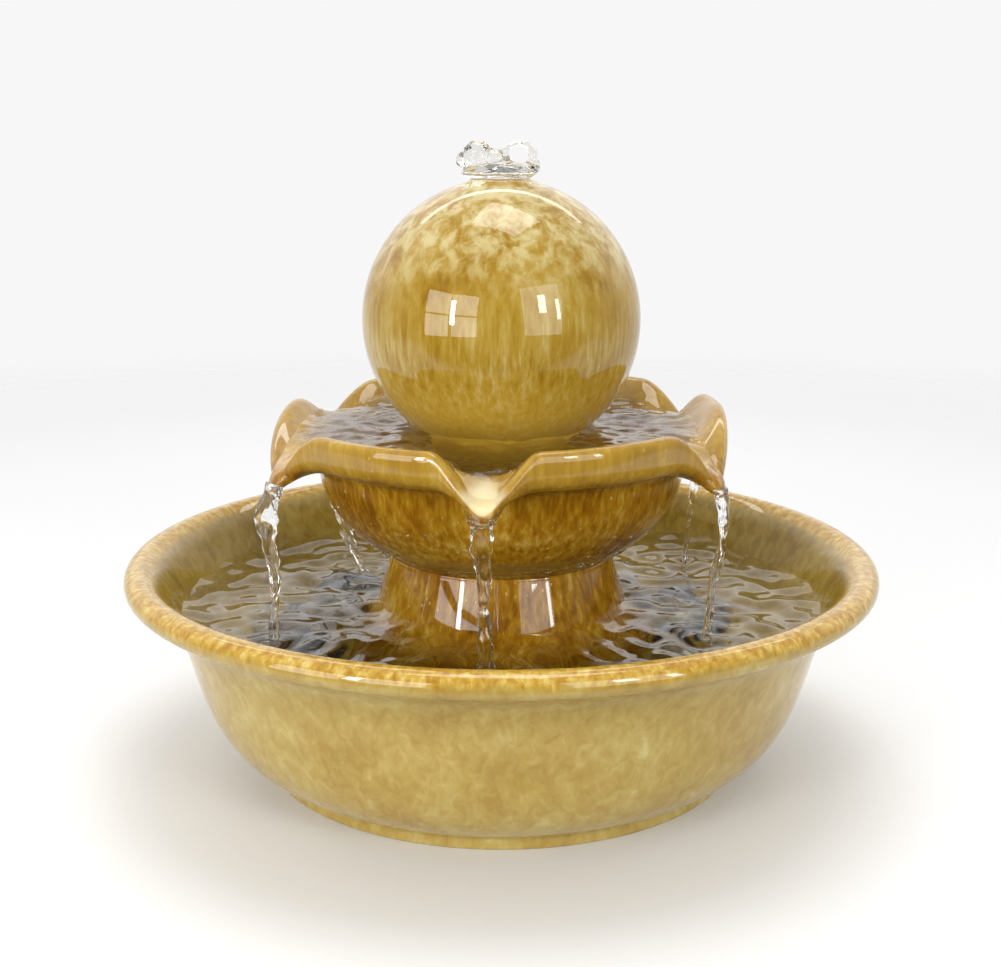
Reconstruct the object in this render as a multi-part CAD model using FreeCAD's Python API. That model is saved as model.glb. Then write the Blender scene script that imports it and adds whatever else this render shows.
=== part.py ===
import FreeCAD, Part
import os
from math import cos, pi, radians, sin
from FreeCAD import Vector

os.makedirs("parts", exist_ok=True)

# Tabletop water fountain, in millimetres.
# Origin: centre of the foot ring, on the table. +Z is up, -Y is the front.
# A hollow ball stands in a bowl with six drooping spouts, the bowl stands on a hollow pedestal,
# and the pedestal stands in a wide basin, over a small submersible pump.

X, Y, Z = Vector(1, 0, 0), Vector(0, 1, 0), Vector(0, 0, 1)
O = Vector(0, 0, 0)

# ---- driving dimensions -------------------------------------------------------------------
# Basin
FOOT_R = 83.2
FOOT_INNER_R = 75.0
FOOT_H = 3.6
LIP_R = 129.5
LIP_TOP_Z = 74.0
FLOOR_UNDERSIDE_Z = 6.0
BASIN_FLOOR_Z = 13.0
BASIN_FLOOR_R = 72.0

# Pedestal
PEDESTAL_TOP_Z = 74.0
PEDESTAL_FOOT_R = 56.0
PEDESTAL_TOP_R = 38.6
PEDESTAL_OPENING_R = 30.0
PEDESTAL_ARCH_ANGLES = (0, 90, 180)
PEDESTAL_ARCH_R = 7.0

# Upper bowl with its petals
SPOUT_HALF_FLAT = 0.6                         # degrees of flat lip on each side of a spout's middle
SPOUTS = (
    # the lip was pulled by hand, so each spout has its own place and its own slopes, in degrees
    # about +Z from +X: middle, then for its lower side and for its higher side the width of the
    # slope and its fullness (1 is straight, and more bulges towards the spout)
    (-94, (11.5, 1.05), (11.5, 1.05)),
    (-32, (15.0, 2.3), (33.0, 1.9)),
    (27, (13.0, 1.7), (17.0, 1.7)),
    (90, (17.0, 1.7), (17.0, 1.7)),
    (148, (17.0, 1.7), (19.0, 1.7)),
    (206.5, (37.0, 1.5), (16.0, 2.4)),
)
LIP_RISE = 1.4                                # the lip is tilted: it stands higher at the back right
LIP_RISE_ANGLE = 55
BOWL_FOOT_R = 38.9
BOWL_FLOOR_Z = 86.0
BOWL_RECESS_R = 33.0
BOWL_RECESS_Z = 80.5
BOWL_HOLE_R = 8.0
BOWL_HUB_R = 20.4
BOWL_HUB_WALL = 3.4
BOWL_HUB_H = 3.5

# Ball
BALL_R = 47.2
BALL_Z = 154.3
BALL_WALL = 4.0
BALL_NECK_R = 25.0
BALL_NECK_WALL = 4.0
BALL_HOLE_R = 7.05

# Riser tube and what it passes through
TUBE_R = 5.5
TUBE_BORE_R = 4.0
TUBE_TOP_Z = 201.5
RUNNING_GAP = 0.05

# Pump. Its rotor turns about an axis along Y; the pump's front is its -Y side.
PUMP_Y = 6.9                                  # shift that puts the outlet over the origin
PUMP_Z = BASIN_FLOOR_Z + 3.0
PUMP_W = 34.0
PUMP_H = 30.0
MOTOR_LEN = 26.0
WALL = 2.0
AXIS_Z = PUMP_Z + 16.5
WELL_R = 7.0
WELL_WALL = 1.2
WELL_LEN = 21.0
MAGNET_R = 6.0
SHAFT_R = 1.2
BUSH_R = 1.7
CHAMBER_R = 10.0
CHAMBER_WALL = 1.6
NOZZLE_R = 3.95
NOZZLE_BORE_R = 2.6
NOZZLE_TOP_Z = 62.0
COVER_FRONT_Y = -18.5
CUP_FRONT_Y = -10.6
CUP_BACK_Y = -2.8
SHAFT_FRONT_Y = CUP_FRONT_Y + 1.3

shapes = {}


# ---- helpers ------------------------------------------------------------------------------
def rz(r, z):
    return Vector(r, 0, z)


def line(a, b):
    return Part.makeLine(rz(*a), rz(*b))


def arc(a, through, b):
    return Part.Arc(rz(*a), rz(*through), rz(*b)).toShape()


def round_corner(a, corner, b):
    """Quarter round from a to b, which lie at equal distances from a square corner."""
    share = 1 - 0.5 ** 0.5
    centre = (a[0] + b[0] - corner[0], a[1] + b[1] - corner[1])
    middle = tuple(corner[k] + (centre[k] - corner[k]) * share for k in (0, 1))
    return arc(a, middle, b)


def curve(*points):
    spline = Part.BSplineCurve()
    spline.interpolate([rz(*p) for p in points])
    return spline.toShape()


def lathe(edges):
    """Solid of revolution about Z from the closed outline of a half section."""
    outline = Part.Wire(Part.__sortEdges__(edges))
    return Part.Face(outline).revolve(O, Z, 360)


def polygon_lathe(points):
    closed = [rz(*p) for p in points] + [rz(*points[0])]
    return Part.Face(Part.makePolygon(closed)).revolve(O, Z, 360)


def box(x0, x1, y0, y1, z0, z1):
    return Part.makeBox(x1 - x0, y1 - y0, z1 - z0, Vector(x0, y0, z0))


def rod(r, start, end):
    """Cylinder from one point to another."""
    along = end - start
    return Part.makeCylinder(r, along.Length, start, along)


def along_y(r, y0, y1, x=0.0, z=AXIS_Z):
    return rod(r, Vector(x, y0 + PUMP_Y, z), Vector(x, y1 + PUMP_Y, z))


def upright(r, z0, z1, x=0.0, y=0.0):
    return rod(r, Vector(x, y, z0), Vector(x, y, z1))


def fillet_along(shape, direction, radius):
    """Round the straight edges of a shape that run along one direction."""
    edges = []
    for edge in shape.Edges:
        ends = edge.Vertexes
        if len(ends) != 2:
            continue
        span = ends[1].Point - ends[0].Point
        if span.Length > 1 and abs(span.normalize().dot(direction)) > 0.999:
            edges.append(edge)
    return shape.makeFillet(radius, edges)


def turned(shape, angle):
    copy = shape.copy()
    copy.rotate(O, Z, angle)
    return copy


def fused(parts):
    return parts[0].fuse(parts[1:]).removeSplitter()


# ---- basin --------------------------------------------------------------------------------
def make_basin():
    wall_start = (84.3, 4.6)
    lip_under = (125.6, 65.6)
    lip_outer = (LIP_R, 69.6)
    lip_crown = (124.6, LIP_TOP_Z)
    lip_inner = (120.6, 72.4)
    outer_wall = curve(
        wall_start, (91.8, 9.2), (98.3, 16), (103.3, 25), (107.4, 37), (111.2, 50), (116.4, 60), lip_under)
    inner_wall = curve(
        lip_inner, (116.2, 67.2), (111.6, 59), (107.2, 48), (102.6, 35), (97.4, 25), (90, 17.6),
        (81.5, 14), (BASIN_FLOOR_R, BASIN_FLOOR_Z))
    return lathe([
        line((0, FLOOR_UNDERSIDE_Z), (FOOT_INNER_R - 3, FLOOR_UNDERSIDE_Z)),
        line((FOOT_INNER_R - 3, FLOOR_UNDERSIDE_Z), (FOOT_INNER_R, 0)),
        line((FOOT_INNER_R, 0), (FOOT_R, 0)),
        line((FOOT_R, 0), (FOOT_R, FOOT_H)),
        arc((FOOT_R, FOOT_H), (83.4, 4.3), wall_start),
        outer_wall,
        arc(lip_under, (128.7, 67.3), lip_outer),
        arc(lip_outer, (128.2, 72.7), lip_crown),
        arc(lip_crown, (122.5, 73.6), lip_inner),
        inner_wall,
        line((BASIN_FLOOR_R, BASIN_FLOOR_Z), (0, BASIN_FLOOR_Z)),
        line((0, BASIN_FLOOR_Z), (0, FLOOR_UNDERSIDE_Z)),
    ])


# ---- pedestal -----------------------------------------------------------------------------
def make_pedestal():
    """Hollow flared cone, with an arch at its foot for each water inlet and one for the cable."""
    foot = (PEDESTAL_FOOT_R, BASIN_FLOOR_Z + 1.5)
    shoulder = (PEDESTAL_TOP_R, PEDESTAL_TOP_Z - 1.2)
    top_edge = (PEDESTAL_TOP_R - 1.2, PEDESTAL_TOP_Z)
    solid = lathe([
        line((52.0, BASIN_FLOOR_Z), (PEDESTAL_FOOT_R - 1.5, BASIN_FLOOR_Z)),
        round_corner((PEDESTAL_FOOT_R - 1.5, BASIN_FLOOR_Z), (PEDESTAL_FOOT_R, BASIN_FLOOR_Z), foot),
        curve(foot, (49.6, 34), (44.2, 54), shoulder),
        round_corner(shoulder, (PEDESTAL_TOP_R, PEDESTAL_TOP_Z), top_edge),
        line(top_edge, (PEDESTAL_OPENING_R, PEDESTAL_TOP_Z)),
        line((PEDESTAL_OPENING_R, PEDESTAL_TOP_Z), (PEDESTAL_OPENING_R, PEDESTAL_TOP_Z - 4)),
        curve((PEDESTAL_OPENING_R, PEDESTAL_TOP_Z - 4), (36.5, 62), (44.8, 34), (52.0, BASIN_FLOOR_Z)),
    ])
    for angle in PEDESTAL_ARCH_ANGLES:
        arch = rod(PEDESTAL_ARCH_R, Vector(30, 0, BASIN_FLOOR_Z + 2), Vector(70, 0, BASIN_FLOOR_Z + 2))
        legs = box(30, 70, -PEDESTAL_ARCH_R, PEDESTAL_ARCH_R, BASIN_FLOOR_Z - 6, BASIN_FLOOR_Z + 2)
        solid = solid.cut(turned(arch.fuse(legs), angle))
    return solid


# ---- upper bowl ---------------------------------------------------------------------------
def spout_share(theta):
    """1 on a spout's flat lip, 0 on a petal, with a slope between them."""
    share = 0.0
    for middle, lower_slope, higher_slope in SPOUTS:
        away = (theta - middle + 180) % 360 - 180
        width, fullness = lower_slope if away < 0 else higher_slope
        ramp = (abs(away) - SPOUT_HALF_FLAT) / (width - SPOUT_HALF_FLAT)
        share = max(share, (1 - min(max(ramp, 0.0), 1.0)) ** fullness)
    return share


# The bowl's cross-section, from the foot up the outside, over the lip and down the inside to the
# floor, as the control points of a smooth curve: (radius, height) at a petal, then at a spout.
BOWL_SECTION = (
    ((42.6, 76.8), (42.6, 76.8)),
    ((45.6, 78.2), (45.6, 78.2)),
    ((50.4, 81.8), (50.4, 81.8)),
    ((55.6, 87.0), (55.6, 87.0)),
    ((59.8, 93.2), (59.8, 93.2)),
    ((62.2, 99.4), (62.2, 99.4)),
    ((63.0, 104.0), (63.0, 104.0)),
    ((63.6, 107.6), (63.6, 107.2)),
    ((66.2, 109.8), (67.2, 108.0)),
    ((73.0, 110.8), (73.6, 106.8)),
    ((77.0, 114.4), (79.4, 103.0)),
    ((77.0, 120.0), (82.4, 103.4)),
    ((75.0, 125.0), (81.4, 107.0)),
    ((70.8, 124.9), (77.4, 108.4)),
    ((66.8, 119.6), (71.2, 111.6)),
    ((61.8, 113.6), (64.8, 112.8)),
    ((59.2, 109.6), (59.8, 110.6)),
    ((58.2, 105.4), (58.2, 105.4)),
    ((57.6, 100.0), (57.6, 100.0)),
    ((55.0, 93.6), (55.0, 93.6)),
    ((49.8, 88.8), (49.8, 88.8)),
    ((44.6, 86.4), (44.6, 86.4)),
    ((40.0, BOWL_FLOOR_Z), (40.0, BOWL_FLOOR_Z)),
)
BOWL_STEPS = 120


def clamped_knots(count, degree):
    """Knots and multiplicities of a curve that starts and ends on its end points."""
    spans = count - degree
    return list(range(spans + 1)), [degree + 1] + [1] * (spans - 1) + [degree + 1]


def lip_point(petal, spout, theta):
    """Control point of the lip at an angle, from its places on a petal and on a spout."""
    share = spout_share(theta)
    r = petal[0] + (spout[0] - petal[0]) * share
    z = petal[1] + (spout[1] - petal[1]) * share
    tilted = min(max((z - 107.0) / 17.0, 0.0), 1.0)
    z += LIP_RISE * cos(radians(theta - LIP_RISE_ANGLE)) * tilted
    return Vector(r * cos(radians(theta)), r * sin(radians(theta)), z)


def make_bowl_wall():
    """Wall and lip as one smooth surface round the bowl, closed by the floor and a disc below it."""
    degree = 3
    poles = []
    for i in range(BOWL_STEPS):
        theta = 360.0 * i / BOWL_STEPS
        poles.append([lip_point(petal, spout, theta) for petal, spout in BOWL_SECTION])
    knots, multiplicities = clamped_knots(len(BOWL_SECTION), degree)
    surface = Part.BSplineSurface()
    surface.buildFromPolesMultsKnots(
        poles, [1] * (BOWL_STEPS + 1), multiplicities, list(range(BOWL_STEPS + 1)), knots,
        True, False, degree, degree)
    skin = surface.toShape()
    discs = [Part.Face(Part.Wire(edge)) for edge in skin.Edges if edge.isClosed()]
    shell = Part.Shell([skin] + discs)
    shell.sewShape()
    return Part.Solid(shell)


def make_petal_bowl():
    foot_edge = (BOWL_FOOT_R + 1.4, PEDESTAL_TOP_Z + 1.4)
    foot = lathe([
        line((0, PEDESTAL_TOP_Z), (BOWL_FOOT_R, PEDESTAL_TOP_Z)),
        round_corner((BOWL_FOOT_R, PEDESTAL_TOP_Z), (BOWL_FOOT_R + 1.4, PEDESTAL_TOP_Z), foot_edge),
        line(foot_edge, (42.1, 77.4)),
        line((42.1, 77.4), (0, 77.4)),
        line((0, 77.4), (0, PEDESTAL_TOP_Z)),
    ])
    recess = Part.makeCone(BOWL_RECESS_R + 0.8, BOWL_RECESS_R - 1, BOWL_RECESS_Z - PEDESTAL_TOP_Z,
                           Vector(0, 0, PEDESTAL_TOP_Z), Z)
    hub = upright(BOWL_HUB_R, BOWL_FLOOR_Z - 1, BOWL_FLOOR_Z + BOWL_HUB_H)
    hub = hub.cut(upright(BOWL_HUB_R - BOWL_HUB_WALL, BOWL_FLOOR_Z - 2, BOWL_FLOOR_Z + BOWL_HUB_H + 1))
    bowl = make_bowl_wall().fuse(foot).cut(recess).fuse(hub)
    return bowl.cut(upright(BOWL_HOLE_R, PEDESTAL_TOP_Z - 1, BOWL_FLOOR_Z + 1))


def make_bowl_grommet():
    """Rubber stopper in the bowl's hole, with a flange on the bowl's floor."""
    inner = TUBE_R + RUNNING_GAP
    return polygon_lathe([
        (inner, BOWL_RECESS_Z - 2.5), (BOWL_HOLE_R - 0.8, BOWL_RECESS_Z - 2.5),
        (BOWL_HOLE_R, BOWL_RECESS_Z + 0.5), (BOWL_HOLE_R, BOWL_FLOOR_Z),
        (BOWL_HOLE_R + 3.5, BOWL_FLOOR_Z), (BOWL_HOLE_R + 3.0, BOWL_FLOOR_Z + 2.2),
        (inner + 0.8, BOWL_FLOOR_Z + 3.4), (inner, BOWL_FLOOR_Z + 3.4)])


# ---- ball ---------------------------------------------------------------------------------
def make_ball():
    """Hollow sphere on a short open neck, with a hole through its top for the outlet."""
    centre = Vector(0, 0, BALL_Z)
    outside = Part.makeSphere(BALL_R, centre).fuse(upright(BALL_NECK_R, BOWL_FLOOR_Z, BALL_Z - 30))
    inside = Part.makeSphere(BALL_R - BALL_WALL, centre)
    inside = inside.fuse(upright(BALL_NECK_R - BALL_NECK_WALL, BOWL_FLOOR_Z - 1, BALL_Z - 30))
    top_hole = upright(BALL_HOLE_R, BALL_Z, BALL_Z + BALL_R + 1)
    return outside.cut(inside).cut(top_hole)


def make_ball_outlet():
    inner = TUBE_R + RUNNING_GAP
    top = BALL_Z + BALL_R
    return polygon_lathe([
        (inner, top - 12), (BALL_HOLE_R - 0.65, top - 12), (BALL_HOLE_R - 0.05, top - 6),
        (BALL_HOLE_R - 0.05, top - 0.5), (BALL_HOLE_R + 1.5, top - 0.5), (BALL_HOLE_R + 1.1, top + 0.3),
        (inner + 0.5, top + 0.9), (inner, top + 0.9)])


# ---- pump ---------------------------------------------------------------------------------
def pump_box(x, y0, y1, z0, z1):
    """Box that is symmetric in X, at heights counted from the pump's underside."""
    return box(-x, x, y0 + PUMP_Y, y1 + PUMP_Y, PUMP_Z + z0, PUMP_Z + z1)


def make_stator_core():
    """U of laminated steel: two legs beside the rotor well, joined by a yoke below it."""
    gap = WELL_R + WELL_WALL + 0.1
    outside = pump_box(gap + 4.0, 5, 17, 2.6, 23.5)
    return outside.cut(pump_box(gap, 4, 18, 6.6, 26))


def make_stator_coils():
    """One wound coil round each leg of the core, below the rotor."""
    leg_in = WELL_R + WELL_WALL + 0.1
    coils = []
    for side in (1, -1):
        middle = side * (leg_in + 2.0)
        outer = box(middle - 4.2, middle + 4.2, 2.8 + PUMP_Y, 19.2 + PUMP_Y, PUMP_Z + 6.8, PUMP_Z + 10.5)
        inner = box(middle - 2.1, middle + 2.1, 4.9 + PUMP_Y, 17.1 + PUMP_Y, PUMP_Z + 6, PUMP_Z + 12)
        coils.append(fillet_along(outer, Z, 1.8).cut(inner))
    return Part.makeCompound(coils)


def make_well():
    tube = along_y(WELL_R + WELL_WALL, 0, WELL_LEN + WELL_WALL)
    return tube, along_y(WELL_R, -WALL - 1, WELL_LEN)


def make_pump_housing():
    """Motor casing: closed at the front but for the rotor well, filled with resin from the back."""
    shell = fillet_along(pump_box(PUMP_W / 2, -WALL, MOTOR_LEN, 0, PUMP_H), Y, 4.0)
    cavity = pump_box(PUMP_W / 2 - WALL, 0, MOTOR_LEN + 1, WALL, PUMP_H - WALL)
    well, bore = make_well()
    casing = shell.cut(cavity).fuse(well).cut(bore)
    for x, y in suction_places():
        casing = casing.cut(upright(1.55, PUMP_Z - 1, PUMP_Z + 1.2, x, y))
    return casing


def make_potting_resin(core, coils):
    cavity = pump_box(PUMP_W / 2 - WALL, 0, MOTOR_LEN - 1, WALL, PUMP_H - WALL)
    well, bore = make_well()
    return cavity.cut(well).cut(bore).cut(core).cut(coils)


def suction_places():
    return [(x, y + PUMP_Y) for x in (-12.0, 12.0) for y in (3.0, 21.0)]


def make_suction_feet():
    feet = []
    for x, y in suction_places():
        cup = polygon_lathe([
            (0, 1.0), (2.4, 0.9), (4.4, 0), (4.8, 0), (3.2, 1.9), (1.9, 3.0), (1.5, 3.0), (1.5, 4.1),
            (0, 4.1)])
        cup.translate(Vector(x, y, BASIN_FLOOR_Z))
        feet.append(cup)
    return Part.makeCompound(feet)


def make_volute_cover():
    """Cup over the impeller, with the eye it draws from and the outlet nozzle on top."""
    front, back = CUP_FRONT_Y, CUP_BACK_Y
    cup = along_y(CHAMBER_R + CHAMBER_WALL, front, back)
    cup = cup.fuse(upright(NOZZLE_R, AXIS_Z + 6, NOZZLE_TOP_Z))
    cup = cup.cut(along_y(CHAMBER_R, front + CHAMBER_WALL, back + 1))
    cup = cup.cut(upright(NOZZLE_BORE_R, AXIS_Z + 4, NOZZLE_TOP_Z + 1))
    eye = along_y(5.0, front - 1, front + 2).cut(along_y(2.4, front - 1, front + 2))
    spoke = box(-0.8, 0.8, front - 1 + PUMP_Y, front + 2 + PUMP_Y, AXIS_Z - 6, AXIS_Z + 6)
    eye = eye.cut(spoke).cut(turned_about_rotor(spoke, 90))
    return cup.cut(eye).cut(along_y(BUSH_R, front + 0.6, front + 2))


def turned_about_rotor(shape, angle):
    copy = shape.copy()
    copy.rotate(Vector(0, 0, AXIS_Z), Y, angle)
    return copy


def make_chamber_seal():
    return along_y(CHAMBER_R + CHAMBER_WALL, CUP_BACK_Y, -WALL).cut(along_y(CHAMBER_R, CUP_BACK_Y - 1, 0))


def make_impeller():
    """Hub, back shroud and six straight blades, open towards the eye."""
    parts = [along_y(3.0, CUP_FRONT_Y + 2.4, 1.5), along_y(9.0, -4.4, -3.6)]
    for i in range(6):
        blade = box(-0.5, 0.5, CUP_FRONT_Y + 2.6 + PUMP_Y, -4.0 + PUMP_Y, AXIS_Z + 2, AXIS_Z + 9)
        parts.append(turned_about_rotor(blade, 60 * i))
    return fused(parts).cut(along_y(SHAFT_R + RUNNING_GAP, CUP_FRONT_Y, 3))


def make_rotor_magnet():
    return along_y(MAGNET_R, 1.5, 18.5).cut(along_y(SHAFT_R + RUNNING_GAP, 1, 19))


def make_shaft_bush_front():
    """Rubber bush in the hub of the volute cover; its pocket holds the front end of the shaft."""
    bush = along_y(BUSH_R, CUP_FRONT_Y + 0.6, CUP_FRONT_Y + 2.2)
    return bush.cut(along_y(SHAFT_R, SHAFT_FRONT_Y, 0))


def make_shaft_bush_rear():
    bush = along_y(WELL_R - 0.1, WELL_LEN - 2.0, WELL_LEN)
    return bush.cut(along_y(SHAFT_R, WELL_LEN - 2.5, WELL_LEN - 0.5))


def dial_windows(y0, y1, start):
    """Three sector windows round the dial's axle, in the middle of the cover's front."""
    windows = []
    for i in range(3):
        angle = radians(start + 120 * i)
        windows.append(along_y(1.9, y0, y1, 4.4 * cos(angle), AXIS_Z + 4.4 * sin(angle)))
    return windows[0].fuse(windows[1:])


def make_intake_cover():
    """Snap-on front cover, open at the back, with slots that let water in past the sponge."""
    shell = fillet_along(pump_box(PUMP_W / 2, COVER_FRONT_Y, -WALL - 0.1, 0, PUMP_H), Y, 4.0)
    cavity = pump_box(PUMP_W / 2 - 1.6, COVER_FRONT_Y + 1.6, 0, 1.6, PUMP_H - 1.6)
    cover = shell.cut(cavity)
    for i in range(7):
        x = -12.0 + 4.0 * i
        cover = cover.cut(box(x - 0.8, x + 0.8, COVER_FRONT_Y - 1 + PUMP_Y, COVER_FRONT_Y + 3 + PUMP_Y,
                              PUMP_Z + 2.6, PUMP_Z + 8.6))
    slot = NOZZLE_R + 0.4
    cover = cover.cut(box(-slot, slot, -slot, PUMP_Y, PUMP_Z + PUMP_H - 3, PUMP_Z + PUMP_H + 1))
    cover = cover.cut(dial_windows(COVER_FRONT_Y - 1, COVER_FRONT_Y + 3, 30))
    return cover.cut(along_y(1.5 + RUNNING_GAP, COVER_FRONT_Y - 1, COVER_FRONT_Y + 3))


def make_filter_sponge():
    return pump_box(PUMP_W / 2 - 2.2, COVER_FRONT_Y + 2.6, -11.2, 2.2, PUMP_H - 2.2)


def make_flow_dial():
    """Disc that slides over the cover's windows, with a finger ridge and an axle behind it."""
    y = COVER_FRONT_Y
    disc = along_y(7.4, y - 1.7, y - 0.2).cut(dial_windows(y - 3, y + 1, 30))
    ridge = box(-0.9, 0.9, y - 3.2 + PUMP_Y, y - 1.6 + PUMP_Y, AXIS_Z - 7.0, AXIS_Z + 1.6)
    axle = along_y(1.5, y - 1.0, y + 1.7)
    clip = along_y(2.1, y + 1.7, y + 2.4)
    return fused([disc, ridge, axle, clip])


def make_cable_gland():
    """Rubber gland in the resin, where the supply lead comes out at the back."""
    x = 9.0
    z = PUMP_Z + 24.0
    sleeve = along_y(2.6, MOTOR_LEN - 1, MOTOR_LEN + 4.5, x, z)
    collar = along_y(3.4, MOTOR_LEN - 1, MOTOR_LEN + 1.0, x, z)
    return sleeve.fuse(collar).cut(along_y(1.5, MOTOR_LEN - 0.5, MOTOR_LEN + 6, x, z))


def make_pump():
    core = make_stator_core()
    coils = make_stator_coils()
    shapes["stator_core"] = core
    shapes["stator_coils"] = coils
    shapes["potting_resin"] = make_potting_resin(core, coils)
    shapes["pump_housing"] = make_pump_housing()
    shapes["volute_cover"] = make_volute_cover()
    shapes["chamber_seal"] = make_chamber_seal()
    shapes["impeller"] = make_impeller()
    shapes["rotor_magnet"] = make_rotor_magnet()
    shapes["ceramic_shaft"] = along_y(SHAFT_R, SHAFT_FRONT_Y, WELL_LEN - 0.5)
    shapes["shaft_bush_front"] = make_shaft_bush_front()
    shapes["shaft_bush_rear"] = make_shaft_bush_rear()
    shapes["intake_cover"] = make_intake_cover()
    shapes["filter_sponge"] = make_filter_sponge()
    shapes["flow_dial"] = make_flow_dial()
    shapes["cable_gland"] = make_cable_gland()
    shapes["suction_feet"] = make_suction_feet()


def make_riser_tube():
    start = NOZZLE_TOP_Z - 12
    return upright(TUBE_R, start, TUBE_TOP_Z).cut(upright(TUBE_BORE_R, start - 1, TUBE_TOP_Z + 1))


# ---- pebbles ------------------------------------------------------------------------------
PEBBLE_COLOURS = ("black_pebbles", "brown_pebbles", "white_pebbles")
PEBBLE_ROWS = (
    # ring radius, height that the stones lie on, number of stones, first angle
    (66.5, BASIN_FLOOR_Z + 0.1, 19, 0.0),
    (82.5, 15.6, 22, 8.0),
    (74.5, 24.0, 20, 4.0),
)


def pebble(i, angle, ring_r, base_z):
    """Flat river pebble: a sphere stretched to three different half-axes."""
    long_half = 8.3 + 1.2 * sin(2.1 * i)
    short_half = 6.4 + 0.9 * cos(1.7 * i)
    thick_half = 4.3 + 0.5 * sin(3.3 * i)
    stone = Part.makeSphere(1.0)
    stretch = FreeCAD.Matrix()
    stretch.scale(short_half, long_half, thick_half)
    stone = stone.transformGeometry(stretch)
    stone.rotate(O, Z, 9 * sin(5.0 * i))
    stone.translate(Vector(ring_r + 0.8 * sin(4.0 * i), 0, base_z + thick_half))
    return turned(stone, angle)


def make_pebbles():
    stones = {name: [] for name in PEBBLE_COLOURS}
    count = 0
    for ring_r, base_z, number, first in PEBBLE_ROWS:
        for k in range(number):
            name = PEBBLE_COLOURS[(count * 5 + count // 7) % 3]
            angle = first + 360.0 * k / number
            stones[name].append(pebble(count, angle, ring_r, base_z))
            count += 1
    for name in PEBBLE_COLOURS:
        shapes[name] = Part.makeCompound(stones[name])


# ---- the whole fountain -------------------------------------------------------------------
shapes["basin"] = make_basin()
shapes["pedestal"] = make_pedestal()
shapes["petal_bowl"] = make_petal_bowl()
shapes["bowl_grommet"] = make_bowl_grommet()
shapes["ball"] = make_ball()
shapes["ball_outlet"] = make_ball_outlet()
shapes["riser_tube"] = make_riser_tube()
make_pump()
make_pebbles()

for name, shape in shapes.items():
    bounds = shape.BoundBox
    print("%-18s solids %2d valid %s volume %9.0f  z %6.1f to %6.1f" % (
        name, len(shape.Solids), shape.isValid(), shape.Volume, bounds.ZMin, bounds.ZMax))
    shape.exportStep("parts/" + name + ".step")
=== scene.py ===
import random
from math import cos, exp, pi, radians, sin

import bpy
import numpy as np
from mathutils import Matrix, Vector, noise


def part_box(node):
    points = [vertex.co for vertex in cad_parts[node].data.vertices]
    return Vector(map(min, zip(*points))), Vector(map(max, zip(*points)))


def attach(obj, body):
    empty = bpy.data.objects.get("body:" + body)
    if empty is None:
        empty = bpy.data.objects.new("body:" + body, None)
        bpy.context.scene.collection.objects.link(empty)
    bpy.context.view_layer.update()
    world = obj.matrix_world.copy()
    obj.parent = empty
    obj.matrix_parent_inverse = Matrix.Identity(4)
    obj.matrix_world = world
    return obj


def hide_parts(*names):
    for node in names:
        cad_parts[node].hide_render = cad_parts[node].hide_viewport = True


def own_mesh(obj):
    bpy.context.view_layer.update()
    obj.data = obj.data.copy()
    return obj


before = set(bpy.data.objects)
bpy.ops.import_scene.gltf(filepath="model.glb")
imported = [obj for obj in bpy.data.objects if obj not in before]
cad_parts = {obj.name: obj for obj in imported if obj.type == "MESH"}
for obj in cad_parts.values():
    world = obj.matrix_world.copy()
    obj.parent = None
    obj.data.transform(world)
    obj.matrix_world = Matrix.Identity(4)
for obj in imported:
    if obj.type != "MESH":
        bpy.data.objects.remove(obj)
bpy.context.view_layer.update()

# Tabletop water fountain: glazed basin, pedestal, bowl with six spouts and ball, with running water.
# Outlines are in millimetres, in the frame of the CAD model; meshes are in metres.
MM = 0.001


# ---- sizes read from the frame --------------------------------------------------------------
def box_mm(node):
    low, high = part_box(node)
    return [v / MM for v in low], [v / MM for v in high]


BALL_LOW, BALL_HIGH = box_mm("ball")
BALL_R = (BALL_HIGH[0] - BALL_LOW[0]) / 2
BALL_HOLE_R = 7.05
BALL_Z = BALL_HIGH[2] - (BALL_R ** 2 - BALL_HOLE_R ** 2) ** 0.5
BALL_WALL = 4.0
NECK_OUTSIDE_R = 25.0
NECK_INSIDE_R = 21.0
PEDESTAL_TOP_Z = box_mm("pedestal")[1][2]
BOWL_BOTTOM_Z = box_mm("petal_bowl")[0][2]
BOWL_FLOOR_Z = BALL_LOW[2]

BASIN_WATER_Z = 57.0
BOWL_WATER_Z = 118.6


# ---- outlines -------------------------------------------------------------------------------
def smooth_curve(points, count):
    """Points along the natural cubic curve through a list of points."""
    points = np.array(points, float)
    steps = np.linalg.norm(np.diff(points, axis=0), axis=1)
    knots = np.concatenate([[0.0], np.cumsum(steps)])
    last = len(points) - 1
    system = np.eye(last + 1)
    slopes = np.zeros_like(points)
    for i in range(1, last):
        before, after = steps[i - 1], steps[i]
        system[i, i - 1:i + 2] = before, 2 * (before + after), after
        slopes[i] = 6 * ((points[i + 1] - points[i]) / after - (points[i] - points[i - 1]) / before)
    bend = np.linalg.solve(system, slopes)
    places = np.linspace(0, knots[-1], count)
    spans = np.clip(np.searchsorted(knots, places, side="right") - 1, 0, last - 1)
    result = []
    for place, i in zip(places, spans):
        step = steps[i]
        u = knots[i + 1] - place
        v = place - knots[i]
        cubic = (bend[i] * u ** 3 + bend[i + 1] * v ** 3) / (6 * step)
        start = points[i] / step - bend[i] * step / 6
        end = points[i + 1] / step - bend[i + 1] * step / 6
        result.append(cubic + start * u + end * v)
    return np.array(result)


def straight(start, end, count):
    return np.linspace(start, end, count)


def arc(centre, radius, first, last, count):
    """Points on a circular arc in the section plane, angles in degrees from outwards, through up."""
    angles = np.radians(np.linspace(first, last, count))
    return np.stack([centre[0] + radius * np.cos(angles), centre[1] + radius * np.sin(angles)], axis=1)


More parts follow.
